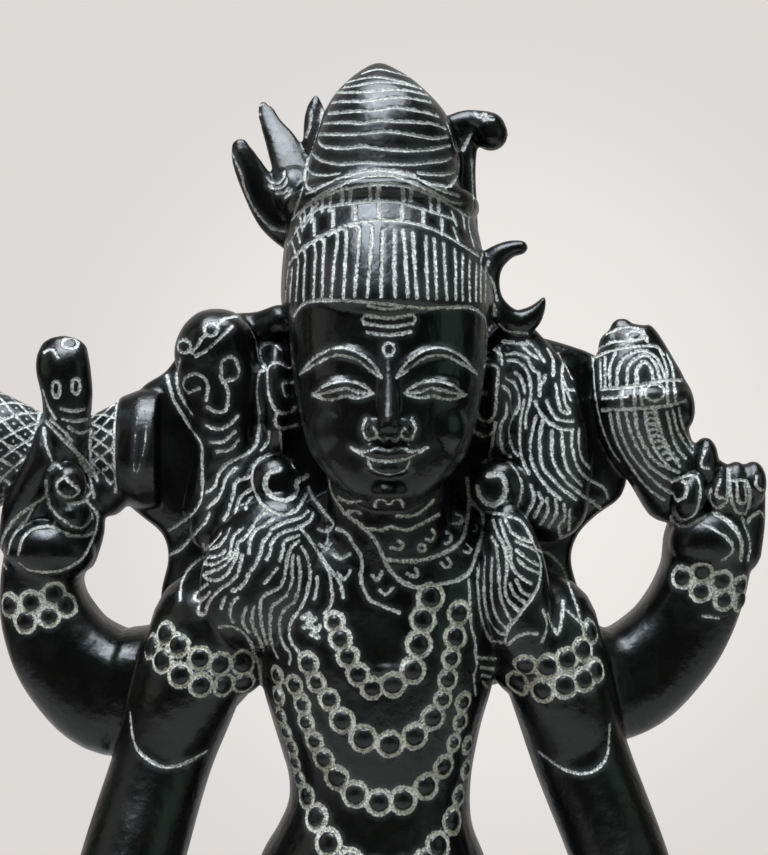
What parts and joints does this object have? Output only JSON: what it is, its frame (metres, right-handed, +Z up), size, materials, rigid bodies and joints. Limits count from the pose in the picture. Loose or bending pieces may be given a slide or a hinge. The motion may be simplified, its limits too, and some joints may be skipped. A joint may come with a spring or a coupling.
{
  "type": "shiva statue",
  "caption": "Seated four-armed Shiva carved from one block of black granite, with incised hair, bead strings and a tall ringed headdress, on a low plain plinth.",
  "frame": {"origin": "centre of the plinth's underside, on the surface it stands on", "axes": "+Z up, -Y the way the figure faces, +X towards the figure's left hand"},
  "size_m": [0.66, 0.34, 0.9003],
  "materials": {
    "black_granite": "polished"
  },
  "bodies": {
    "root": {"shiva_statue": "black_granite"}
  },
  "joints": []
}
